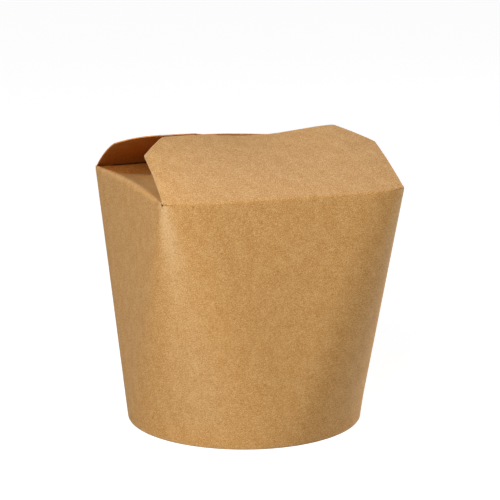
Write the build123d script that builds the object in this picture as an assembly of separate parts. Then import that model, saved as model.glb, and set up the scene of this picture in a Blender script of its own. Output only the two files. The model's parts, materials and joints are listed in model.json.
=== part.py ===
from build123d import *
import math
import os

# A kraft-board snack box: a round foot, a wall that turns from round to square, and folded-in flaps.
# The origin is the centre of the foot on the table, +Z is up and the front flap's fold is at -Y. Millimetres.

# Board and clearances
BOARD = 0.45              # thickness of the board, everywhere
GLUE_GAP = 0.05           # between sealed layers of board
FOLD_CLEARANCE = 0.225    # between the faces of a big flap and of the wall that meet at its fold

# Wall
BASE_DIAMETER = 96.4      # outside, on the table
FOOT_MARGIN = 0.5         # the wall stays a plain cone this far above the bottom disc
FOOT_TAPER = 6.5          # degrees
RIM_WIDTH = 100.0         # outside, between the side folds
RIM_DEPTH = 98.0          # outside, between the front and back folds
FOLD_HEIGHT = 98.4        # the big flaps' folds above the table
CORNER_RADIUS = 18.0      # the slow bend at each end of the front and back folds
CORNER_TURN = 30.0        # degrees that the slow bend takes of each corner's 90
TIP_RADIUS = 2.6          # the quick bend that takes the rest
CREST_WIDTH = 3.0         # degrees of the round foot under the middle of each flat panel

# Glued lap seam, on the back
SEAM_WIDTH = 8.0
SEAM_FROM_SIDE = 17.0     # from the right side fold to the middle of the seam, at the folds
SEAM_LIFT = 0.8           # the outer layer ends this far above the table

# Hem and bottom disc
HEM_HEIGHT = 6.0          # the wall's turned-in edge
DISC_LIFT = 0.6           # from the hem's edge to the disc's underside
DISC_BEND = 0.9           # outside radius between the disc and its skirt

# Side flaps, folded in under the big ones
SIDE_ARCH = 3.4           # rise of the curved side fold at its middle
SIDE_FLAP_SPACING = 28.0  # between the two free ends
SIDE_FLAP_SLIT = 2.0      # between a side flap and the corner's quick bend, at the fold
SIDE_FLAP_TAPER = 7.0     # what each edge draws in from the fold to the free end
SIDE_FLAP_ROUND = 8.0     # radius of the free end's corners

# Big flaps
FLAP_SPACING = 6.8        # between the two free edges if both flaps lay level
FLAP_END_GAP = 0.5        # from the side fold's line to the flap's end, at the fold
FLAP_TAPER = 1.0          # what each end draws in from the fold to the shoulder
FLAP_CUT_WIDTH = 11.5     # the cut-off corner, along the free edge
FLAP_CUT_LENGTH = 13.5    # the cut-off corner, along the end
FLAP_ROUND = 1.2          # radius of the outline's corners
FLAP_DISH = 1.2           # sag of the free edge's middle
FRONT_CURL = 2.3          # rise of the flap's middle over a straight line from its fold to its free edge
BACK_CURL = 3.1
FRONT_LEAN = 26.9         # degrees of that line above level
BACK_LEAN = 23.8

# Values worked out from the sizes above
foot_radius = BASE_DIAMETER / 2
foot_slope = math.tan(math.radians(FOOT_TAPER))
disc_under = HEM_HEIGHT + DISC_LIFT
disc_top = disc_under + BOARD
foot_height = disc_top + FOOT_MARGIN
wall_top = FOLD_HEIGHT + SIDE_ARCH + BOARD
half_width = RIM_WIDTH / 2
half_depth = RIM_DEPTH / 2
turn_angle = math.radians(CORNER_TURN)
bend_step = CORNER_RADIUS - TIP_RADIUS
tip_centre_x = half_width - TIP_RADIUS
tip_centre_y = half_depth - CORNER_RADIUS + bend_step * math.cos(turn_angle)
bend_centre_x = tip_centre_x - bend_step * math.sin(turn_angle)
bend_centre_y = half_depth - CORNER_RADIUS
seam_top_x = half_width - SEAM_FROM_SIDE
rim_to_base = math.pi * BASE_DIAMETER / (2 * (RIM_WIDTH + RIM_DEPTH))
seam_foot_x = foot_radius * math.sin(seam_top_x * rim_to_base / foot_radius)
side_flap_end = SIDE_FLAP_SPACING / 2
fold_axis_y = half_depth - BOARD / 2
fold_gap = BOARD / 2 + FOLD_CLEARANCE
flap_length = fold_axis_y - FLAP_SPACING / 2
flap_shoulder = flap_length - FLAP_CUT_LENGTH
flap_root_x = half_width - FLAP_END_GAP
flap_shoulder_x = flap_root_x - FLAP_TAPER
flap_edge_x = flap_shoulder_x - FLAP_CUT_WIDTH
reach = RIM_WIDTH + RIM_DEPTH + BASE_DIAMETER + FOLD_HEIGHT


def foot_section(z, radius):
    """Circle in the same twelve arcs as the rim's outline."""
    crest = CREST_WIDTH / 2
    quarter = [crest, CORNER_TURN, 90 - crest]
    bounds = [-90 - crest]
    for side in range(4):
        steps = quarter if side % 2 == 0 else [crest, 90 - CORNER_TURN, 90 - crest]
        bounds += [90 * (side - 1) + step for step in steps]
    arcs = [CenterArc((0, 0, z), radius, a, b - a) for a, b in zip(bounds, bounds[1:])]
    return Wire(arcs)


def corner(side_x, side_y, z, inset):
    """The two arcs of one rim corner, anticlockwise, with the slow bend next to the front or back fold."""
    slow_centre = (side_x * bend_centre_x, side_y * bend_centre_y, z)
    tip_centre = (side_x * tip_centre_x, side_y * tip_centre_y, z)
    slow_radius = CORNER_RADIUS - inset
    tip_radius = TIP_RADIUS - inset
    quick_turn = 90 - CORNER_TURN
    if side_x == -side_y:
        start = -90 if side_y < 0 else 90
        slow = CenterArc(slow_centre, slow_radius, start, CORNER_TURN)
        return [slow, CenterArc(tip_centre, tip_radius, start + CORNER_TURN, quick_turn)]
    start = 0 if side_x > 0 else 180
    tip = CenterArc(tip_centre, tip_radius, start, quick_turn)
    return [tip, CenterArc(slow_centre, slow_radius, start + quick_turn, CORNER_TURN)]


def rim_section(z, inset):
    """Outline of the rim, anticlockwise from the front fold, drawn in by inset."""
    x = half_width - inset
    y = half_depth - inset
    edges = [Line((-bend_centre_x, -y, z), (bend_centre_x, -y, z))]
    edges += corner(1, -1, z, inset)
    edges += [Line((x, -tip_centre_y, z), (x, tip_centre_y, z))]
    edges += corner(1, 1, z, inset)
    edges += [Line((bend_centre_x, y, z), (-bend_centre_x, y, z))]
    edges += corner(-1, 1, z, inset)
    edges += [Line((-x, tip_centre_y, z), (-x, -tip_centre_y, z))]
    edges += corner(-1, -1, z, inset)
    return Wire(edges)


def wall_form(inset):
    """Solid under the wall's outer face, drawn in by inset: a cone, then flat panels between bent corners."""
    sections = [
        foot_section(0, foot_radius - inset),
        foot_section(foot_height, foot_radius + foot_height * foot_slope - inset),
        rim_section(FOLD_HEIGHT, inset),
        rim_section(wall_top, inset),
    ]
    return Solid.make_loft(sections, ruled=True)


def side_arch(offset):
    """The curved side fold in the YZ plane, seen along X, raised by offset."""
    base = FOLD_HEIGHT + offset
    return ThreePointArc((-tip_centre_y, base), (0, base + SIDE_ARCH), (tip_centre_y, base))


def below_folds():
    """Everything below the folds: level at the front and back, arched along the sides."""
    low = FOLD_HEIGHT - fold_gap
    outline = [
        Polyline((-tip_centre_y, FOLD_HEIGHT), (-tip_centre_y, low), (-reach, low), (-reach, -BOARD)),
        Line((-reach, -BOARD), (reach, -BOARD)),
        Polyline((reach, -BOARD), (reach, low), (tip_centre_y, low), (tip_centre_y, FOLD_HEIGHT)),
        side_arch(0),
    ]
    return extrude(Plane.YZ * make_face(outline), amount=reach, both=True)


def lap_seam():
    """Second layer of board where the sheet's two ends overlap, following the back panel down to the foot."""
    half = SEAM_WIDTH / 2
    band = make_face(
        Polyline(
            (seam_foot_x - half, SEAM_LIFT),
            (seam_foot_x + half, SEAM_LIFT),
            (seam_top_x + half, wall_top),
            (seam_top_x - half, wall_top),
            close=True,
        )
    )
    behind = extrude(Plane.XZ * band, amount=-reach)
    return (wall_form(-BOARD) - wall_form(BOARD / 2)) & behind


def side_flap(side):
    """One side flap, level across its length and arched along its fold; side is -1 for the left."""
    outer = side * (half_width - BOARD / 2)
    band = make_face(
        [
            side_arch(BOARD / 2),
            Line((tip_centre_y, FOLD_HEIGHT + BOARD / 2), (tip_centre_y, FOLD_HEIGHT - BOARD / 2)),
            side_arch(-BOARD / 2),
            Line((-tip_centre_y, FOLD_HEIGHT - BOARD / 2), (-tip_centre_y, FOLD_HEIGHT + BOARD / 2)),
        ]
    )
    sheet = Pos(outer, 0, 0) * extrude(Plane.YZ * band, amount=side * side_flap_end - outer)
    root = tip_centre_y - SIDE_FLAP_SLIT
    free = root - SIDE_FLAP_TAPER
    tip = side * side_flap_end
    outline = make_face(
        Polyline((side * half_width, -root), (side * half_width, root), (tip, free), (tip, -free), close=True)
    )
    free_corners = [vertex for vertex in outline.vertices() if abs(vertex.X - tip) < BOARD]
    outline = fillet(free_corners, SIDE_FLAP_ROUND)
    return sheet & extrude(outline, amount=reach)


def hem():
    """The wall's turned-in edge: a floor ring and an inner ring that holds the disc's skirt."""
    outer = foot_radius - 2 * BOARD - 2 * GLUE_GAP
    rise = HEM_HEIGHT * foot_slope
    profile = make_face(
        Polyline(
            (outer - BOARD, 0),
            (foot_radius - BOARD / 2, 0),
            (foot_radius - BOARD / 2, BOARD),
            (outer + BOARD * foot_slope, BOARD),
            (outer + rise, HEM_HEIGHT),
            (outer + rise - BOARD, HEM_HEIGHT),
            close=True,
        )
    )
    return revolve(Plane.XZ * profile, Axis.Z)


def bottom_disc():
    """Flat disc with a skirt that runs down between the wall and the hem."""
    low = BOARD + GLUE_GAP
    outer = foot_radius - BOARD - GLUE_GAP
    profile = make_face(
        Polyline(
            (0, disc_under),
            (outer - BOARD + disc_under * foot_slope, disc_under),
            (outer - BOARD + low * foot_slope, low),
            (outer + low * foot_slope, low),
            (outer + disc_top * foot_slope, disc_top),
            (0, disc_top),
            close=True,
        )
    )
    rim = profile.vertices().sort_by(Axis.X)[-1]
    return revolve(Plane.XZ * fillet(rim, DISC_BEND), Axis.Z)


def big_flap(curl):
    """A big flap lying level, its fold axis on X, curled along its length and dished along its free edge."""
    half = half_width + BOARD
    far = flap_length + BOARD

    def section(share):
        """Outline across the sheet at a share of its length, square to the curl."""
        slope = 4 * curl * (1 - 2 * share) / far
        middle = Vector(0, far * share, 4 * curl * share * (1 - share))
        end = Vector(half, 0, 0)
        up = Vector(0, -slope, 1).normalized() * (BOARD / 2)
        ends = [middle - end - up, middle + end - up, middle + end + up, middle - end + up]
        if share == 0:
            return Wire(Polyline(*ends, close=True).edges())
        sag = Vector(0, 0, FLAP_DISH * share)
        return Wire(
            [
                ThreePointArc(ends[0], middle - up - sag, ends[1]),
                Line(ends[1], ends[2]),
                ThreePointArc(ends[2], middle + up - sag, ends[3]),
                Line(ends[3], ends[0]),
            ]
        )

    sheet = Solid.make_loft([section(share) for share in (0, 0.25, 0.5, 0.75, 1)])
    outline = make_face(
        Polyline(
            (-flap_root_x, fold_gap),
            (flap_root_x, fold_gap),
            (flap_shoulder_x, flap_shoulder),
            (flap_edge_x, flap_length),
            (-flap_edge_x, flap_length),
            (-flap_shoulder_x, flap_shoulder),
            close=True,
        )
    )
    outer_corners = [vertex for vertex in outline.vertices() if vertex.Y > fold_gap + BOARD]
    outline = fillet(outer_corners, FLAP_ROUND)
    return sheet & extrude(outline, amount=reach, both=True)


def sleeve():
    """The wrapped wall with its hem, lap seam and side flaps: one folded sheet."""
    wall = (wall_form(0) - wall_form(BOARD)) + lap_seam()
    return (wall & below_folds()) + hem() + side_flap(-1) + side_flap(1)


parts = {
    "sleeve": sleeve(),
    "bottom_disc": bottom_disc(),
    "front_flap": Pos(0, -fold_axis_y, FOLD_HEIGHT) * Rot(X=FRONT_LEAN) * big_flap(FRONT_CURL),
    "back_flap": Pos(0, fold_axis_y, FOLD_HEIGHT) * Rot(Z=180) * Rot(X=BACK_LEAN) * big_flap(BACK_CURL),
}

os.makedirs("parts", exist_ok=True)
for node, shape in parts.items():
    export_step(shape, f"parts/{node}.step")
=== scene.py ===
import json
import math

import bpy
import numpy as np
from mathutils import Matrix, Vector


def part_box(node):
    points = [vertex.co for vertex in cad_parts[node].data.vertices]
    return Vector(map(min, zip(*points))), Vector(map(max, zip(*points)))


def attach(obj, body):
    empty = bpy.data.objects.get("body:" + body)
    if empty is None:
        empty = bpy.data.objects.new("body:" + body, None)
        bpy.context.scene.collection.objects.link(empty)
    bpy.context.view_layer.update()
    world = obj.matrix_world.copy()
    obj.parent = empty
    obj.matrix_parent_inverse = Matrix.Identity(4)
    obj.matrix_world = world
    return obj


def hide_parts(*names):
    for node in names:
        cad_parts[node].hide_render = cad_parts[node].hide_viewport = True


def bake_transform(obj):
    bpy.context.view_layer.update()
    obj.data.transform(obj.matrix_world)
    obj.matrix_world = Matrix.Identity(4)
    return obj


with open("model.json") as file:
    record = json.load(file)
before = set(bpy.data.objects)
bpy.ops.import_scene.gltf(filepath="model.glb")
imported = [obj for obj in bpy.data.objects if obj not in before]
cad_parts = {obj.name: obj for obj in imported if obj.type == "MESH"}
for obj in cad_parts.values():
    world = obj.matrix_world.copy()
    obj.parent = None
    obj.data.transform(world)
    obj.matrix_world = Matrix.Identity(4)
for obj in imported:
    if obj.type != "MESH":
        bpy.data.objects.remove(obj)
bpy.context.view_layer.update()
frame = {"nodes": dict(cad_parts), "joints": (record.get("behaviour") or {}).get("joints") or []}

# The box is dressed in skins of bent board. Metres, in the frame's axes: the front fold is at -Y, +Z is up.

# Sizes taken from the frame
folds = {joint["name"]: joint for joint in frame["joints"]}
FOLD_Y = abs(folds["front_fold"]["pos_m"][1])
FOLD_Z = folds["front_fold"]["pos_m"][2]
HALF_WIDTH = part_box("sleeve")[1].x

# Board
BOARD = 0.00045            # thickness
LIP_PROUD = 0.00003        # a flap's lip stands this far off the wall that it covers
SHARP_ANGLE = math.radians(50)  # an edge between faces that meet at more than this stays sharp

# Wall
HALF_DEPTH = FOLD_Y + BOARD / 2
FOOT_RADIUS = 0.0482       # outside, on the table
FOOT_TAPER = math.tan(math.radians(6.5))
FOOT_HEIGHT = 0.00755      # the wall is round up to here
FOOT_SOFTNESS = 0.007      # half the height over which the round foot turns into the panels
CREST = 1.5                # degrees of the foot under half of each flat panel
FRONT_BEND_RADIUS = 0.055  # the slow bend at each end of the front and back panels
FRONT_BEND_TURN = 16.3     # degrees
FRONT_FOOT_TURN = 28.0     # degrees of the foot under half a front panel with its slow bend
SIDE_BEND_RADIUS = 0.060   # the slow bend at each end of the side panels
SIDE_BEND_TURN = 6.0       # degrees
SIDE_FOOT_TURN = 18.0      # degrees of the foot under half a side panel with its slow bend
FOOT_EASE = 1.7            # how gently the slow bends start from the flat panels
TIP_RADIUS = 0.0018        # the quick bend that is left between them
HEM_HEIGHT = 0.006
HEM_STEP = 0.001           # from the middle of the wall to the middle of its turned-in edge
HEM_ROUND = 0.0003
HEM_TURNS = (20, 45, 70)   # degrees round each of the hem's two bends at which it has points

# Side flaps
SIDE_ARCH = 0.0024         # rise of the side fold's middle above its ends
TIP_LIFT = 0.0010          # the ends of the slits above the big flaps' folds
SIDE_CREASE = 0.0030       # how far the rounded side fold reaches from its line
SIDE_CREASE_POWER = 6      # how late towards its ends that rounding narrows
SIDE_DIP = math.tan(math.radians(23.0))   # fall next to the fold
SIDE_LEVEL = math.tan(math.radians(2.0))  # fall further in
SIDE_KNEE = 0.0085         # where the one turns into the other, from the fold
SIDE_KNEE_SOFTNESS = 0.005
SIDE_FLAP_END = 0.014      # free end, from the middle of the box
SIDE_FLAP_TAPER = 0.19     # share of its breadth that the flap loses towards its free end
SIDE_FLAP_ROUND = 0.008

# Lap seam on the back
SEAM_WIDTH = 0.008
SEAM_TOP_X = 0.033
SEAM_FOOT_X = 0.0241
SEAM_LIFT = 0.0008         # its end above the table
SEAM_GAP = 0.00006

# Big flaps
FLAP_LENGTH = 0.045375
FLAP_SHOULDER = 0.0319
FLAP_SHOULDER_X = 0.0481
FLAP_TIP_X = 0.0368
FLAP_TIP_X_CURLED = 0.0353  # the front flap's right tip, which curls in a little
FOLD_LIFT = 0.00045        # the fold's line above its axis
FOLD_CREASE = 0.0008       # how far the rounded fold reaches from its line
LIP = 0.0016               # a flap's skin covers this much of the wall under the fold
SLIT_X = 0.044             # beyond this the flap's root is cut free of the wall
SLIT_GAP = 0.0002
SLIT_EASE = 0.002          # the gap opens over this much of the fold
SLIT_CREASE = 0.0003       # the fold's rounding where it is cut
CREASE_EASE = 0.005        # the rounding narrows over this much of the fold
NOTCH_DEPTH = 0.0015       # the cut at each end of the front fold gapes this far down the corner
NOTCH_WIDTH = 0.0007       # half its width
SHOULDER_SOFTNESS = 0.0005
TIP_ROUNDING = 0.0006
TIP_ROUND_FROM = 0.97      # share of the half width from which the tip is rounded
RISE_POWER = 1.4           # how late along the flap its uneven rise sets in

# Big flaps' curl at their ends: slopes at the fold and at the free edge in degrees, and hang (see Curl)
FRONT_CURL_LEFT = (37.0, 9.5, 0.55)
FRONT_CURL_RIGHT = (33.5, 19.5, 0.25)
BACK_CURL = (37.5, 9.5, 0.50)
BACK_CROWN = 0.0012        # rise of the back fold's middle above its ends

# Front flap's uneven free edge: a valley between two crests
VALLEY_X = 0.005
VALLEY_DEPTH = 0.0008
LEFT_CREST_X = -0.030
LEFT_CREST_RISE = 0.0023   # from the valley
RIGHT_CREST_X = 0.036
RIGHT_CREST_RISE = 0.0018

# Back flap's free edge, drawn at the front: a short step and then a long fall, from one x to another
STEP_X = (0.019, 0.014)
STEP_FALL = 0.0006
LONG_FALL_X = (0.012, -0.030)
LONG_FALL = 0.0020

# Scuffing and painted highlights, from 0 to 1
# side folds: scuffing plus a painted highlight along the ridge
FOLD_WEAR_AND_HIGHLIGHT = 0.12
FOLD_WEAR_AND_HIGHLIGHT_POWER = 8        # how late towards its ends a side fold's scuffing and painted highlight fade
# painted highlight: a pale streak down each upright corner, where the key light catches the bend
CORNER_HIGHLIGHT = 0.6
LOW_HIGHLIGHT = 0.33            # share of that which is left low down
LOW_HIGHLIGHT_TOP = 0.6         # share of the wall's height up to which it is no more
FOOT_FADE = 0.15           # share of the wall's height over which it fades towards the foot
STREAK_FOOT = 51.0         # degrees of the foot from the box's side to the end of a corner's painted highlight streak
STREAK = 0.0035            # half width of the streak at the rim
STREAK_SPREAD = 0.022      # what it gains down to the foot
FOOT_WEAR = 0.4
FOOT_WEAR_HEIGHT = 0.0015
# painted highlight: a pale line along the big flaps' lit free edges and cut corners
EDGE_HIGHLIGHT = 0.6
EDGE_HIGHLIGHT_WIDTH = 0.0009
EDGE_HIGHLIGHT_EASE = 0.001     # the painted highlight on a cut corner sets in over this much before the shoulder

# Kraft board's noises: scale for each metre, stretch along a direction in degrees, detail and roughness
CLOUDS = dict(scale=210, stretch=1.3, angle=20, detail=3)
BLOTCHES = dict(scale=700, stretch=1.4, angle=-35, detail=2)
FIBRES = dict(scale=2300, stretch=3.2, angle=68, detail=2, rough=0.6)
CROSS_FIBRES = dict(scale=2500, stretch=3.0, angle=-28, detail=2, rough=0.6)
GRAIN = dict(scale=3000, stretch=1.0, angle=0, detail=1)
TONE_WEIGHTS = ((CLOUDS, 0.40), (BLOTCHES, 0.32), (FIBRES, 0.7), (CROSS_FIBRES, 0.7), (GRAIN, 1.65))
DARK_TONE = 0.1            # the tone at which the board has its dark colour
LIGHT_TONE = 0.9
SPECK_PATCHES = dict(scale=420, stretch=1, angle=0, detail=0)
SPECK_SCALE = 160.0
SPECK_SIZE = 0.34          # a speck's radius in cells for each unit that the patches rise above a half
SPECK_SHARE = 0.35         # how much of their own colour the specks show
WEAR_AND_HIGHLIGHT_NOISE = dict(scale=1700, stretch=1.6, angle=15, detail=2)
WEAR_AND_HIGHLIGHT_RANGE = (0.25, 0.65)  # of the noise, from none to full scuffing and painted highlight
ROUGHNESS_SWING = 0.06     # dark fibres are this much rougher, pale ones this much smoother
BUMP_STRENGTH = 0.35
BUMP_DEPTH = 0.00006
SPECK_COLOUR = (0.10, 0.05, 0.02)
WORN_AND_HIGHLIGHT_COLOUR = (0.84, 0.60, 0.34)  # colour of scuffed board, which also paints the highlights on corners, fold ridges and flap edges
FOLD_SHADE_COLOUR = (0.03, 0.012, 0.004)  # near-black painted shade in the crease inside a big flap's fold

# A colour Mix node's sockets, whose names repeat
MIX_FROM, MIX_TO, MIX_RESULT = 6, 7, 2

# Studio
FLOOR_HALF = 3.0           # half the floor's side
FLOOR_GREYS = (0.28, 0.31)  # what the floor reflects, at its darkest and lightest
FLOOR_GLOW = 0.96          # what the camera sees of it by itself
WORLD_FILL = 0.03          # the world's light on the object

# Rows and columns of points
PANEL_STEPS = 18           # along half a flat panel, or a front panel's slow bend
BEND_STEPS = 10            # along a side panel's slow bend, or half a quick bend
WALL_STEPS = 44
FOLD_ROWS = 9              # round a fold
LIP_ROWS = 3
FLAP_ROWS = 60
FLAP_ROW_POWER = 1.4       # how much closer together they are towards the free edge
SIDE_FLAP_ROWS = 14
SEAM_STEPS = 36
SEAM_COLUMNS = 9
PROFILE_POINTS = 400       # along a curl
PROFILE_REACH = 1.05       # of the flap's length

# Corners of the rim, worked out from the bends
front_turn, side_turn = math.radians(FRONT_BEND_TURN), math.radians(SIDE_BEND_TURN)
TIP_X = HALF_WIDTH - SIDE_BEND_RADIUS + (SIDE_BEND_RADIUS - TIP_RADIUS) * math.cos(side_turn)
TIP_Y = HALF_DEPTH - FRONT_BEND_RADIUS + (FRONT_BEND_RADIUS - TIP_RADIUS) * math.cos(front_turn)
FRONT_BEND_X = TIP_X - (FRONT_BEND_RADIUS - TIP_RADIUS) * math.sin(front_turn)
SIDE_BEND_Y = TIP_Y - (SIDE_BEND_RADIUS - TIP_RADIUS) * math.sin(side_turn)

# Camera, fitted to the photograph
IMAGE_PIXELS = 500
FOCAL_PIXELS = 1662.4
SENSOR = 36.0
CAMERA_EYE = (-0.22706, -0.62301, 0.21040)
CAMERA_AZIMUTH = -20.234   # degrees
CAMERA_ELEVATION = 12.027
CLIP_START = 0.01


def smoothstep(low, high, value):
    t = np.clip((value - low) / (high - low), 0, 1)
    return t * t * (3 - 2 * t)


def spread(count, ends=0.6):
    """count + 1 values from 0 to 1, closer together near both ends."""
    t = np.linspace(0, 1, count + 1)
    eased = t * t * (3 - 2 * t)
    return t + ends * (eased - t)


def soft_ramp(past, softness):
    """0 before, past itself after, and a parabola over softness on both sides of 0."""
    return np.where(np.abs(past) < softness, (past + softness) ** 2 / (4 * softness), np.clip(past, 0, None))


def bezier(start, corner, end, count):
    """count rows of points from just after start up to end, rounding the corner."""
    t = ((np.arange(count) + 1) / count)[:, None, None]
    return start * (1 - t) ** 2 + 2 * corner * t * (1 - t) + end * t**2


def scene_object(name, data):
    made = bpy.data.objects.new(name, data)
    bpy.context.scene.collection.objects.link(made)
    return made


class Rim:
    """Stations along the rim's middle surface, anticlockwise.

    angle is the foot's angle in degrees under each station, on_side is true from the middle of a corner's
    quick bend along the side, and in_flap is true where the wall runs on into a side flap."""

    def __init__(self, angle, x, y, on_side, in_flap):
        self.angle, self.x, self.y = angle, x, y
        self.on_side, self.in_flap = on_side, in_flap

    def pick(self, order):
        return Rim(self.angle[order], self.x[order], self.y[order], self.on_side[order], self.in_flap[order])


def rim_quarter():
    """Rows of angle, x, y, on_side and in_flap from the front's middle to just before the right's middle."""
    rows = []

    def line(start, end, foot_from, foot_to, count, flags):
        for t in np.arange(count) / count:
            x = start[0] + (end[0] - start[0]) * t
            y = start[1] + (end[1] - start[1]) * t
            rows.append((foot_from + (foot_to - foot_from) * t, x, y, *flags))

    def arc(centre, radius, turn_from, turn_to, foot_from, foot_to, count, flags, ease=lambda t: t):
        inner = radius - BOARD / 2
        for t in np.arange(count) / count:
            a = math.radians(turn_from + (turn_to - turn_from) * t)
            foot = foot_from + (foot_to - foot_from) * ease(t)
            rows.append((foot, centre[0] + inner * math.cos(a), centre[1] + inner * math.sin(a), *flags))

    def slow_start(t):
        return t**FOOT_EASE

    def slow_end(t):
        return 1 - (1 - t) ** FOOT_EASE

    front, side = -HALF_DEPTH + BOARD / 2, HALF_WIDTH - BOARD / 2
    tip_from, tip_to = -90 + FRONT_BEND_TURN, -SIDE_BEND_TURN
    tip_middle = (tip_from + tip_to) / 2
    tip, front_centre = (TIP_X, -TIP_Y), (FRONT_BEND_X, -HALF_DEPTH + FRONT_BEND_RADIUS)
    side_centre = (HALF_WIDTH - SIDE_BEND_RADIUS, -SIDE_BEND_Y)
    foot_turn, side_foot = -90 + FRONT_FOOT_TURN, -SIDE_FOOT_TURN
    foot_middle = (foot_turn + side_foot) / 2
    crest = -90 + CREST
    wall, corner, flap = (0, 0), (1, 0), (1, 1)  # on_side and in_flap
    line((0, front), (FRONT_BEND_X, front), -90, crest, PANEL_STEPS, wall)
    arc(front_centre, FRONT_BEND_RADIUS, -90, tip_from, crest, foot_turn, PANEL_STEPS, wall, slow_start)
    arc(tip, TIP_RADIUS, tip_from, tip_middle, foot_turn, foot_middle, BEND_STEPS, wall)
    arc(tip, TIP_RADIUS, tip_middle, tip_to, foot_middle, side_foot, BEND_STEPS, corner)
    arc(side_centre, SIDE_BEND_RADIUS, tip_to, 0, side_foot, -CREST, BEND_STEPS, flap, slow_end)
    line((side, -SIDE_BEND_Y), (side, 0), -CREST, 0, PANEL_STEPS, flap)
    return np.array(rows)


def rim_loop():
    """The whole rim, from the middle of the back round to just before it."""
    right_front = rim_quarter()
    right_middle = np.array([[0, HALF_WIDTH - BOARD / 2, 0, 1, 1]])
    right_back = np.vstack([right_front, right_middle])[:0:-1] * (-1, 1, -1, 1, 1)
    right = np.vstack([right_front, right_back])
    left = right * (1, -1, -1, 1, 1)
    angle = np.concatenate([left[:, 0] - 180, right[:, 0]])
    both = np.vstack([left, right])
    return Rim(angle, both[:, 1], both[:, 2], both[:, 3] > 0, both[:, 4] > 0)


def wall_point(rim, z):
    """The wall's middle surface on each station's ruling: a round foot, eased into a line up to the rim."""
    a = np.radians(rim.angle)
    out = np.stack([np.cos(a), np.sin(a)], -1)
    radius = FOOT_RADIUS - BOARD / 2
    foot_top = out * (radius + FOOT_HEIGHT * FOOT_TAPER)
    change = (np.stack([rim.x, rim.y], -1) - foot_top) / (FOLD_Z - FOOT_HEIGHT) - out * FOOT_TAPER
    low = np.minimum(z, FOLD_Z)
    eased = soft_ramp(low - FOOT_HEIGHT, FOOT_SOFTNESS)
    plan = out * (radius + low * FOOT_TAPER)[:, None] + change * eased[:, None]
    return np.column_stack([plan, z])


def sheet_distance(points):
    """How far along the sheet each point of a grid is from the one in its first row."""
    steps = np.linalg.norm(np.diff(points, axis=0), axis=2)
    return np.vstack([np.zeros(points.shape[1]), np.cumsum(steps, axis=0)])


def point_normals(points, quads):
    corners = points[quads]
    face_normals = np.cross(corners[:, 2] - corners[:, 0], corners[:, 3] - corners[:, 1])
    normals = np.zeros_like(points)
    for k in range(4):
        np.add.at(normals, quads[:, k], face_normals)
    return normals / np.linalg.norm(normals, axis=1)[:, None]


def open_edges(quads, places):
    """The edges that only one quad has, as pairs of points and as pairs of places on the sheet."""
    edges = np.vstack([quads[:, [k, (k + 1) % 4]] for k in range(4)])
    edge_places = np.vstack([places[:, [k, (k + 1) % 4]] for k in range(4)])
    known = {tuple(edge) for edge in edges.tolist()}
    is_open = np.array([(b, a) not in known for a, b in edges.tolist()])
    return edges[is_open], edge_places[is_open]


def board_mesh(name, points, sheet, keep, wear, score=0, thickness=BOARD):
    """Closed board around a grid of middle-surface points, where keep is true for a face of the grid.

    Its materials are 0 outside, 1 inside and 2 cut edges. sheet holds each point's place on the flat sheet,
    with one more column where the grid is closed, the next argument how much scuffing and painted highlight
    the outside has, and the one after how much painted shade the inside has along a fold."""
    rows, columns = points.shape[:2]
    wide = sheet.shape[1]
    index = np.arange(rows * wide).reshape(rows, wide)
    corner_places = np.stack([index[:-1, :-1], index[:-1, 1:], index[1:, 1:], index[1:, :-1]], -1)[keep]
    quads = corner_places // wide * columns + corner_places % wide % columns
    used, quads = np.unique(quads, return_inverse=True)
    quads = quads.reshape(-1, 4)

    def at_points(value):
        """A value for each point in use, from one for the whole grid, for each row or for each point."""
        return np.broadcast_to(value, (rows, columns)).reshape(-1)[used]

    middle = points.reshape(-1, 3)[used]
    out = point_normals(middle, quads) * at_points(thickness)[:, None] / 2
    vertices = np.vstack([middle + out, middle - out])
    edges, edge_places = open_edges(quads, corner_places)
    a, b = edges.T
    count = len(middle)
    rim = np.column_stack([b, a, a + count, b + count])
    faces = np.vstack([quads, quads[:, ::-1] + count, rim])
    places = np.vstack([corner_places, corner_places[:, ::-1], edge_places[:, [1, 0, 0, 1]]])
    layer = np.repeat([0, 1, 2], [len(quads), len(quads), len(rim)])

    mesh = bpy.data.meshes.new(name)
    mesh.from_pydata(vertices.tolist(), [], faces.tolist())
    mesh.polygons.foreach_set("material_index", layer)
    on_sheet = np.zeros((len(faces), 4, 3), np.float32)
    on_sheet[..., :2] = sheet.reshape(-1, 2)[places]
    on_sheet[..., 2] = layer[:, None]
    mesh.attributes.new("sheet", "FLOAT_VECTOR", "CORNER").data.foreach_set("vector", on_sheet.ravel())
    for label, per_side in (("wear", (wear, 0)), ("score", (0, score))):
        values = np.concatenate([at_points(side) for side in per_side])
        attribute = mesh.attributes.new(label, "FLOAT", "POINT")
        attribute.data.foreach_set("value", values.astype(np.float32))
    mesh.shade_smooth()
    mesh.set_sharp_from_angle(angle=SHARP_ANGLE)
    return scene_object(name, mesh)


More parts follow.
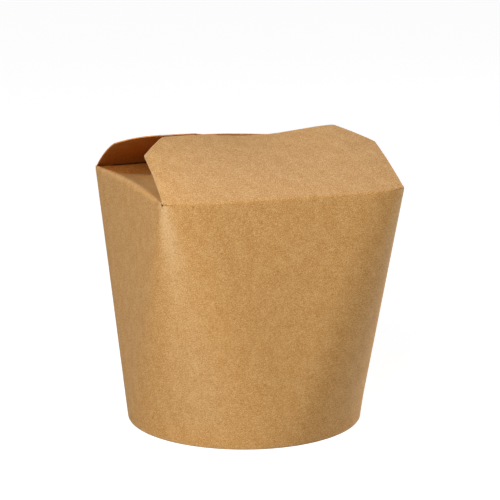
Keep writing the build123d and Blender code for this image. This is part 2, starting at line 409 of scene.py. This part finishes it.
class Curl:
    """A big flap's form, drawn at the front.

    left and right give, for each end of the flap, its slope in degrees at the fold and at the free edge,
    between which it falls evenly, and how far the end hangs for each metre that its fold is set back.
    rise(x) is what the free edge gains at x over that, and crown what the middle of the fold gains."""

    def __init__(self, left, right, rise, crown=0.0):
        self.distance = np.linspace(0, FLAP_LENGTH * PROFILE_REACH, PROFILE_POINTS)
        self.ends = [self.profile(*left[:2]), self.profile(*right[:2])]
        self.hang = left[2], right[2]
        self.rise = rise
        self.crown = crown

    def profile(self, fold_slope, edge_slope):
        """In and up along one end."""
        slope = np.radians(fold_slope + (edge_slope - fold_slope) * self.distance / FLAP_LENGTH)
        step = np.stack([np.cos(slope), np.sin(slope)], -1) * self.distance[1]
        return np.vstack([[0, 0], np.cumsum((step[1:] + step[:-1]) / 2, axis=0)])

    def mix(self, x):
        """In and up along the flap at one x."""
        share = smoothstep(-HALF_WIDTH, HALF_WIDTH, x)
        return self.ends[0] * (1 - share) + self.ends[1] * share

    def at(self, x, d):
        """How far in and how far up the flap is, at each x and distance d."""
        found = [[np.interp(di, self.distance, column) for column in self.mix(xi).T] for xi, di in zip(x, d)]
        inward, up = np.array(found).T
        past = np.clip(np.abs(x) - FRONT_BEND_X, 0, None)
        set_back = FRONT_BEND_RADIUS - np.sqrt(FRONT_BEND_RADIUS**2 - past**2)
        hang = np.where(x < 0, *self.hang) * set_back
        crown = self.crown * np.clip(1 - (x / HALF_WIDTH) ** 2, 0, 1) * np.clip(1 - d / FLAP_LENGTH, 0, 1)
        return inward, up + FOLD_LIFT - hang + crown + self.rise(x) * (d / FLAP_LENGTH) ** RISE_POWER

    def root(self, rim):
        """Where the flap meets the wall at each station: distance along the flap, and height."""
        set_back = FOLD_Y - np.abs(rim.y)
        d = np.array([np.interp(s, self.mix(x)[:, 0], self.distance) for x, s in zip(rim.x, set_back)])
        return d, FOLD_Z + self.at(rim.x, d)[1]


def front_rise(x):
    """The front flap's free edge: high left of the middle, a valley right of it, and a lifted right end."""
    left_side = smoothstep(VALLEY_X, LEFT_CREST_X, x) * LEFT_CREST_RISE
    right_side = smoothstep(VALLEY_X, RIGHT_CREST_X, x) * RIGHT_CREST_RISE
    return left_side + right_side - VALLEY_DEPTH


def back_rise(x):
    """The back flap's free edge, drawn at the front, so that its photographed left end is at +x."""
    return -STEP_FALL * smoothstep(*STEP_X, x) - LONG_FALL * smoothstep(*LONG_FALL_X, x)


def fold_crease(x):
    """How far a big flap's rounded fold reaches from its line at each x."""
    return FOLD_CREASE + (SLIT_CREASE - FOLD_CREASE) * smoothstep(SLIT_X - CREASE_EASE, SLIT_X, np.abs(x))


def over_fold():
    """For each row of points round a fold, how close it is to the fold's middle, from 0 to 1."""
    return np.sin(np.linspace(0, math.pi, FOLD_ROWS + 2))[1:-1] ** 2


def ring(rim, radius, z):
    a = np.radians(rim.angle)
    return np.column_stack([radius * np.cos(a), radius * np.sin(a), np.full(len(a), z)])


def hem_rows(rim):
    """The wall's turned-in edge, from its top inside the foot down and round to the outside."""
    wall = FOOT_RADIUS - BOARD / 2
    edge = wall - HEM_STEP
    rows = [ring(rim, edge + z * FOOT_TAPER, z) for z in (HEM_HEIGHT, HEM_HEIGHT / 2, HEM_ROUND * 2)]
    for centre, start in ((edge + HEM_ROUND, 180), (wall - HEM_ROUND, 270)):
        for turn in HEM_TURNS:
            a = math.radians(start + turn)
            z = BOARD / 2 + HEM_ROUND * (1 + math.sin(a))
            rows.append(ring(rim, centre + HEM_ROUND * math.cos(a), z))
    return rows


class SideFlaps:
    """Both side flaps' form at each station of the rim."""

    def __init__(self, rim):
        self.rim = rim
        self.fold_height = FOLD_Z + TIP_LIFT + SIDE_ARCH * (1 - (rim.y / HALF_DEPTH) ** 2)
        reach_y = np.abs(rim.y[rim.in_flap]).max()
        along = np.clip(np.abs(rim.y) / reach_y, 0, 1)
        self.crease = SIDE_CREASE * (1 - along**SIDE_CREASE_POWER)
        narrow = 1 - SIDE_FLAP_TAPER
        over = np.clip((along - 1) * reach_y * narrow / SIDE_FLAP_ROUND + 1, 0, 1)
        self.length = np.abs(rim.x) - SIDE_FLAP_END - SIDE_FLAP_ROUND * (1 - np.sqrt(1 - over**2))

    def point(self, reach):
        """The flap's point at each station, reach metres in from the fold."""
        taper = 1 - SIDE_FLAP_TAPER * reach / (HALF_WIDTH - SIDE_FLAP_END)
        inner = self.rim.x - np.sign(self.rim.x) * reach
        eased = (SIDE_DIP - SIDE_LEVEL) * soft_ramp(reach - SIDE_KNEE, SIDE_KNEE_SOFTNESS)
        fall = SIDE_DIP * reach - eased
        return np.column_stack([inner, self.rim.y * taper, self.fold_height - fall])

    def rows(self, wall_end):
        """From the wall's end round the fold to the free end."""
        fold = np.column_stack([self.rim.x, self.rim.y, self.fold_height])
        round_fold = bezier(wall_end, fold, self.point(self.crease), FOLD_ROWS)
        shares = np.linspace(0, 1, SIDE_FLAP_ROWS + 1)[1:]
        inward = [self.point(self.crease + (self.length - self.crease) * share) for share in shares]
        return [*round_fold, *inward]


def wall_top(rim, side_flaps, front_curl, back_curl):
    """Height at each station where the wall ends and the rounding of a fold begins.

    The back flap's curl is drawn at the front, so it is asked with the rim turned round."""
    at_front = rim.y < 0
    turned = Rim(rim.angle, -rim.x, -rim.y, rim.on_side, rim.in_flap)
    big_root = np.where(at_front, front_curl.root(rim)[1], back_curl.root(turned)[1])
    slit = SLIT_GAP * smoothstep(SLIT_X, SLIT_X + SLIT_EASE, np.abs(rim.x)) * at_front
    big_top = big_root - fold_crease(rim.x) - slit
    top = np.where(rim.on_side, side_flaps.fold_height - side_flaps.crease, big_top)
    ridge = np.argmax(rim.on_side != np.roll(rim.on_side, 1))
    from_ridge = np.hypot(np.abs(rim.x) - abs(rim.x[ridge]), np.abs(rim.y) - abs(rim.y[ridge]))
    return top - NOTCH_DEPTH * smoothstep(NOTCH_WIDTH, 0, from_ridge) * at_front


def sleeve_wear_and_highlight(rim, points, wall_rows):
    """Scuffing and a painted highlight on the side folds, a painted highlight streak down the upright
    corners, and scuffing round the foot.
    """
    wall = points[:wall_rows]
    height = wall[:, :, 2]
    share = np.clip(height / FOLD_Z, 0, 1)
    past_streak = np.abs(np.sin(np.radians(rim.angle))) > math.sin(math.radians(STREAK_FOOT))
    streaks = wall[:, past_streak != np.roll(past_streak, 1)]
    from_streak = np.linalg.norm(wall[:, :, None] - streaks[:, None], axis=3).min(axis=2)
    strength = LOW_HIGHLIGHT + (1 - LOW_HIGHLIGHT) * smoothstep(LOW_HIGHLIGHT_TOP, 1, share)
    strength *= CORNER_HIGHLIGHT * smoothstep(0, FOOT_FADE, share)
    wear = np.zeros(points.shape[:2])
    wear[:wall_rows] = strength * smoothstep(STREAK + STREAK_SPREAD * (1 - share), 0, from_streak)
    wear[:wall_rows] += FOOT_WEAR * smoothstep(FOOT_WEAR_HEIGHT, 0, height)
    to_end = 1 - np.clip(np.abs(rim.y) / TIP_Y, 0, 1) ** FOLD_WEAR_AND_HIGHLIGHT_POWER
    wear[wall_rows : wall_rows + FOLD_ROWS] = FOLD_WEAR_AND_HIGHLIGHT * over_fold()[:, None] * to_end
    return wear


def sleeve_sheet(rim, points):
    """Each point's place on the flat sheet, with the closing column."""
    up = sheet_distance(points)
    around_rim = np.cumsum(np.hypot(np.diff(rim.x, prepend=rim.x[-1]), np.diff(rim.y, prepend=rim.y[-1])))
    around_rim -= around_rim[len(rim.x) // 2]
    around_foot = np.radians(rim.angle + 90) * FOOT_RADIUS
    share = np.clip(points[:, :, 2] / FOLD_Z, 0, 1)
    around = around_foot + (around_rim - around_foot) * share
    closing = np.stack([-around[:, 0], up[:, 0]], -1)[:, None]
    return np.concatenate([np.stack([around, up], -1), closing], 1)


def sleeve_skin(front_curl, back_curl):
    """The wall with its hem and side flaps, as one sheet."""
    rim = rim_loop()
    side_flaps = SideFlaps(rim)
    top = wall_top(rim, side_flaps, front_curl, back_curl)
    rows = hem_rows(rim)
    start = BOARD / 2 + HEM_ROUND
    rows += [wall_point(rim, start + (top - start) * share) for share in spread(WALL_STEPS)]
    wall_rows = len(rows)
    rows += side_flaps.rows(rows[-1])
    points = np.array(rows)
    wear = sleeve_wear_and_highlight(rim, points, wall_rows)
    keep = np.ones((len(rows) - 1, len(rim.x)), bool)
    keep[wall_rows - 1 :] = rim.in_flap & np.roll(rim.in_flap, -1)
    return board_mesh("sleeve_skin", points, sleeve_sheet(rim, points), keep, wear)


def lap_seam_skin():
    """The sheet's outer end, glued over its inner end on the back."""
    rim = rim_loop()
    at_back = rim.pick(rim.y > 0)
    rows = []
    for share in spread(SEAM_STEPS):
        z = SEAM_LIFT + (FOLD_Z - FOLD_CREASE - SEAM_LIFT) * share
        wall = wall_point(at_back, np.full(len(at_back.x), z))
        wall = wall[np.argsort(wall[:, 0])]
        middle = SEAM_FOOT_X + (SEAM_TOP_X - SEAM_FOOT_X) * share
        x = middle - np.linspace(-0.5, 0.5, SEAM_COLUMNS) * SEAM_WIDTH
        y = np.interp(x, wall[:, 0], wall[:, 1]) + BOARD + SEAM_GAP
        rows.append(np.column_stack([x, y, np.full(len(x), z)]))
    points = np.array(rows)
    keep = np.ones((points.shape[0] - 1, points.shape[1] - 1), bool)
    return board_mesh("lap_seam_skin", points, points[:, :, [0, 2]], keep, 0)


def outline_half_width(distance, root_x, tip_x):
    """Half width of a big flap at a distance from its fold, with softened shoulders."""
    slope = (FLAP_SHOULDER_X - root_x) / FLAP_SHOULDER
    turn = (tip_x - FLAP_SHOULDER_X) / (FLAP_LENGTH - FLAP_SHOULDER) - slope
    return root_x + slope * distance + turn * soft_ramp(distance - FLAP_SHOULDER, SHOULDER_SOFTNESS)


def flap_edge_highlight(along, to_free_edge, to_side):
    """Painted highlight on a big flap's lit free edge and cut corners, from each point's distances."""
    on_free_edge = smoothstep(EDGE_HIGHLIGHT_WIDTH, 0, to_free_edge)
    past_shoulder = smoothstep(FLAP_SHOULDER - EDGE_HIGHLIGHT_EASE, FLAP_SHOULDER, along)
    on_cut_corner = smoothstep(EDGE_HIGHLIGHT_WIDTH, 0, to_side) * past_shoulder
    return EDGE_HIGHLIGHT * np.maximum(on_free_edge, on_cut_corner)


def big_flap_skin(name, curl, tip_left, tip_right, slit_x):
    """A big flap with its fold and the lip that covers the wall's edge up to slit_x, drawn at the front."""
    rim = rim_loop()
    rim = rim.pick((rim.y < 0) & ~rim.on_side)
    x = rim.x
    root_d, root_z = curl.root(rim)
    root_x = np.abs(x).max()
    tip_x = np.where(x < 0, tip_left, tip_right)

    def surface(d):
        """The flap's middle surface at each station, d metres along it from the fold's line."""
        across = x / root_x * outline_half_width(d, root_x, tip_x)
        inward, up = curl.at(across, d)
        return np.column_stack([across, inward - FOLD_Y, up + FOLD_Z])

    crease = fold_crease(x)
    first = root_d + crease
    to_tip = np.clip((np.abs(x) / root_x - TIP_ROUND_FROM) / (1 - TIP_ROUND_FROM), 0, 1)
    last = FLAP_LENGTH - TIP_ROUNDING * to_tip**2
    shares = 1 - (1 - np.linspace(0, 1, FLAP_ROWS + 1)[1:]) ** FLAP_ROW_POWER
    along = first + (last - first) * shares[:, None]
    rows = [wall_point(rim, root_z - crease - drop) for drop in np.linspace(LIP, 0, LIP_ROWS)]
    rows += list(bezier(rows[-1], np.column_stack([x, rim.y, root_z]), surface(first), FOLD_ROWS))
    rows += [surface(d) for d in along]
    points = np.array(rows)

    over_wall = BOARD + 2 * LIP_PROUD
    round_fold = np.linspace(over_wall, BOARD, FOLD_ROWS + 1)[1:]
    thickness = np.concatenate([[over_wall] * LIP_ROWS, round_fold, [BOARD] * FLAP_ROWS])[:, None]
    wear = np.zeros((len(rows), len(x)))
    wear[-FLAP_ROWS:] = flap_edge_highlight(along, last - along, root_x - np.abs(x))
    # painted shade: darkest in the middle of the crease inside the fold
    score = np.zeros((len(rows), 1))
    score[LIP_ROWS : LIP_ROWS + FOLD_ROWS, 0] = over_fold()
    sheet = np.stack([points[:, :, 0], sheet_distance(points)], -1)
    keep = np.ones((len(rows) - 1, len(x) - 1), bool)
    held = np.abs(x) < slit_x
    keep[: LIP_ROWS - 1] = held[1:] & held[:-1]
    return board_mesh(name, points, sheet, keep, wear, score, thickness)


def paint(piece, outside, inside, edge):
    for material in (outside, inside, edge):
        piece.data.materials.append(material)


def node_maker(material):
    """A function that adds a node to the material or world and sets its input values."""
    tree = material.node_tree

    def add(kind, inputs=None, **settings):
        node = tree.nodes.new(kind)
        for key, value in settings.items():
            setattr(node, key, value)
        for key, value in (inputs or {}).items():
            socket = node.inputs[key]
            if isinstance(value, bpy.types.NodeSocket):
                tree.links.new(value, socket)
            else:
                socket.default_value = value
        return node

    return add


def calculate(add, operation, *values):
    """Output of a Math node."""
    return add("ShaderNodeMath", dict(enumerate(values)), operation=operation).outputs[0]


def noise(add, place, scale, stretch, angle, detail, rough=0.55):
    turned = add(
        "ShaderNodeMapping",
        {"Vector": place, "Rotation": (0, 0, math.radians(angle)), "Scale": (1, stretch, 1)},
        vector_type="TEXTURE",
    )
    texture = add(
        "ShaderNodeTexNoise",
        {"Vector": turned.outputs["Vector"], "Scale": scale, "Detail": detail, "Roughness": rough},
    )
    return texture.outputs["Fac"]


def kraft_tone(add, place):
    """From dark to light: a half, plus each noise's distance from a half times its weight."""
    tone = 0.5
    for settings, weight in TONE_WEIGHTS:
        value = noise(add, place, **settings)
        tone = calculate(add, "ADD", calculate(add, "MULTIPLY_ADD", value, weight, -0.5 * weight), tone)
    return tone


def speck_share(add, place):
    """How much a place shows of the dark specks, which come in patches."""
    cells = add("ShaderNodeTexVoronoi", {"Vector": place, "Scale": SPECK_SCALE, "Randomness": 1.0})
    patches = noise(add, place, **SPECK_PATCHES)
    size = calculate(add, "MULTIPLY_ADD", patches, SPECK_SIZE, -SPECK_SIZE / 2)
    speck = calculate(add, "LESS_THAN", cells.outputs["Distance"], size)
    return calculate(add, "MULTIPLY", speck, SPECK_SHARE)


def wear_and_highlight_share(add, place):
    """How much a place shows of scuffing and painted highlight, broken up by noise."""
    wear = add("ShaderNodeAttribute", attribute_name="wear").outputs["Fac"]
    low, high = WEAR_AND_HIGHLIGHT_RANGE
    inputs = {"Value": noise(add, place, **WEAR_AND_HIGHLIGHT_NOISE), "From Min": low, "From Max": high}
    breakup = add("ShaderNodeMapRange", inputs).outputs["Result"]
    return calculate(add, "MULTIPLY", wear, breakup)


def kraft(name, dark, base, light, roughness, gloss, on_sheet=True):
    """Unbleached kraft board: a fibrous tone, a few dark specks, scuffing and painted highlights, painted
    shade in folds and a soft bump.
    """
    material = bpy.data.materials.new(name)
    material.use_nodes = True
    add = node_maker(material)
    if on_sheet:
        place = add("ShaderNodeAttribute", attribute_name="sheet").outputs["Vector"]
    else:
        place = add("ShaderNodeTexCoord").outputs["Object"]
    tone = kraft_tone(add, place)
    ramp = add("ShaderNodeValToRGB", {"Fac": tone})
    stops = ramp.color_ramp.elements
    stops[0].position, stops[0].color = DARK_TONE, (*dark, 1)
    stops[1].position, stops[1].color = LIGHT_TONE, (*light, 1)
    stops.new((DARK_TONE + LIGHT_TONE) / 2).color = (*base, 1)

    # painted shade inside the big flaps' folds
    score = add("ShaderNodeAttribute", attribute_name="score").outputs["Fac"]
    covers = ((speck_share(add, place), SPECK_COLOUR), (wear_and_highlight_share(add, place), WORN_AND_HIGHLIGHT_COLOUR), (score, FOLD_SHADE_COLOUR))
    colour = ramp.outputs["Color"]
    for share, cover in covers:
        inputs = {"Factor": share, MIX_FROM: colour, MIX_TO: (*cover, 1)}
        colour = add("ShaderNodeMix", inputs, data_type="RGBA").outputs[MIX_RESULT]
    roughest, smoothest = roughness + ROUGHNESS_SWING, roughness - ROUGHNESS_SWING
    rough = add("ShaderNodeMapRange", {"Value": tone, "To Min": roughest, "To Max": smoothest})
    bump = add("ShaderNodeBump", {"Strength": BUMP_STRENGTH, "Distance": BUMP_DEPTH, "Height": tone})
    shader = material.node_tree.nodes["Principled BSDF"]
    links = material.node_tree.links
    links.new(colour, shader.inputs["Base Color"])
    links.new(rough.outputs["Result"], shader.inputs["Roughness"])
    links.new(bump.outputs["Normal"], shader.inputs["Normal"])
    shader.inputs["Specular IOR Level"].default_value = gloss
    return material


def seen_directly(add):
    """1 where the camera sees, by itself or in a mirror or glass, and 0 for light that falls on things."""
    ray = add("ShaderNodeLightPath").outputs
    mirrored = calculate(add, "MAXIMUM", ray["Is Glossy Ray"], ray["Is Transmission Ray"])
    return calculate(add, "MAXIMUM", ray["Is Camera Ray"], mirrored)


def floor_material():
    """Pale, and white to the camera apart from the object's soft shadow."""
    material = bpy.data.materials.new("studio_floor")
    material.use_nodes = True
    material.node_tree.nodes.clear()
    add = node_maker(material)
    grain = add("ShaderNodeTexNoise", {"Scale": 30.0, "Detail": 2.0})
    tint = add("ShaderNodeValToRGB", {"Fac": grain.outputs["Fac"]})
    for stop, grey in zip(tint.color_ramp.elements, FLOOR_GREYS):
        stop.color = (grey, grey, grey, 1)
    matte = add("ShaderNodeBsdfDiffuse", {"Color": tint.outputs["Color"]})
    glow = add("ShaderNodeEmission", {"Color": (1, 1, 1, 1), "Strength": FLOOR_GLOW})
    both = add("ShaderNodeAddShader", {0: matte.outputs[0], 1: glow.outputs[0]})
    mix = add("ShaderNodeMixShader", {"Fac": seen_directly(add), 1: matte.outputs[0], 2: both.outputs[0]})
    add("ShaderNodeOutputMaterial", {"Surface": mix.outputs[0]})
    return material


def studio_floor():
    mesh = bpy.data.meshes.new("studio_floor")
    corners = [(x * FLOOR_HALF, y * FLOOR_HALF, 0) for x, y in ((-1, -1), (1, -1), (1, 1), (-1, 1))]
    mesh.from_pydata(corners, [], [(0, 1, 2, 3)])
    mesh.materials.append(floor_material())
    floor = scene_object("studio_floor", mesh)


def studio_world():
    """White where it is seen or mirrored, and a weak fill for everything else."""
    world = bpy.data.worlds.new("studio")
    world.use_nodes = True
    add = node_maker(world)
    strength = add("ShaderNodeMapRange", {"Value": seen_directly(add), "To Min": WORLD_FILL, "To Max": 1.0})
    background = world.node_tree.nodes["Background"]
    background.inputs["Color"].default_value = (1, 1, 1, 1)
    world.node_tree.links.new(strength.outputs["Result"], background.inputs["Strength"])
    bpy.context.scene.world = world


def softbox(name, azimuth, elevation, distance, size, power, sheen_only=False):
    """Square lamp aimed at the middle of the box; azimuth is degrees left of straight in front."""
    a, e = math.radians(azimuth), math.radians(elevation)
    way = Vector((-math.sin(a) * math.cos(e), -math.cos(a) * math.cos(e), math.sin(e)))
    light = bpy.data.lights.new(name, "AREA")
    light.shape = "SQUARE"
    light.size = size
    light.energy = power
    lamp = scene_object(name, light)
    lamp.location = Vector((0, 0, FOLD_Z / 2)) + way * distance
    lamp.rotation_euler = way.to_track_quat("Z", "Y").to_euler()
    lamp.visible_diffuse = not sheen_only


def photo_camera():
    data = bpy.data.cameras.new("camera")
    data.sensor_fit = "HORIZONTAL"
    data.sensor_width = SENSOR
    data.lens = SENSOR * FOCAL_PIXELS / IMAGE_PIXELS
    data.clip_start = CLIP_START
    camera = scene_object("camera", data)
    camera.location = CAMERA_EYE
    camera.rotation_euler = (math.radians(90 - CAMERA_ELEVATION), 0, math.radians(CAMERA_AZIMUTH))
    bpy.context.scene.camera = camera


outside = kraft(
    "kraft_outside",
    dark=(0.42, 0.172, 0.036),
    base=(0.59, 0.320, 0.106),
    light=(0.74, 0.46, 0.205),
    roughness=0.60,
    gloss=0.08,
)
inside = kraft(
    "kraft_inside",
    dark=(0.40, 0.115, 0.014),
    base=(0.56, 0.195, 0.036),
    light=(0.68, 0.29, 0.075),
    roughness=0.6,
    gloss=0.10,
)
# paler than the board's faces, which paints in the highlight of cut edges catching the light
cut_edge = kraft(
    "kraft_cut_edge",
    dark=(0.50, 0.29, 0.12),
    base=(0.64, 0.41, 0.20),
    light=(0.76, 0.53, 0.30),
    roughness=0.8,
    gloss=0.20,
)
disc_board = kraft(
    "kraft_base",
    dark=(0.40, 0.140, 0.020),
    base=(0.56, 0.235, 0.052),
    light=(0.68, 0.34, 0.10),
    roughness=0.6,
    gloss=0.12,
    on_sheet=False,
)

front_curl = Curl(FRONT_CURL_LEFT, FRONT_CURL_RIGHT, front_rise)
back_curl = Curl(BACK_CURL, BACK_CURL, back_rise, BACK_CROWN)

sleeve = sleeve_skin(front_curl, back_curl)
paint(sleeve, outside, inside, cut_edge)
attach(sleeve, "box")
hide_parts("sleeve")

seam = lap_seam_skin()
paint(seam, outside, inside, cut_edge)
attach(seam, "box")

front = big_flap_skin("front_flap_skin", front_curl, FLAP_TIP_X, FLAP_TIP_X_CURLED, SLIT_X)
paint(front, outside, inside, cut_edge)
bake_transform(front)
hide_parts("front_flap")

back = big_flap_skin("back_flap_skin", back_curl, FLAP_TIP_X, FLAP_TIP_X, HALF_WIDTH)
back.data.transform(Matrix.Rotation(math.pi, 4, "Z"))
# painted shade: the back flap's cut edges take the darker inside colour
paint(back, outside, inside, inside)
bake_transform(back)
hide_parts("back_flap")

disc = frame["nodes"]["bottom_disc"]
disc.data.materials.clear()
disc.data.materials.append(disc_board)

studio_floor()
studio_world()
softbox("key", azimuth=39.5, elevation=33.0, distance=0.95, size=0.42, power=10.0)
softbox("rim", azimuth=-99, elevation=1, distance=1.4, size=0.18, power=15.5)
softbox("top", azimuth=-110, elevation=72, distance=1.3, size=0.9, power=32.0, sheen_only=True)
photo_camera()
bpy.context.scene.view_settings.view_transform = "Standard"
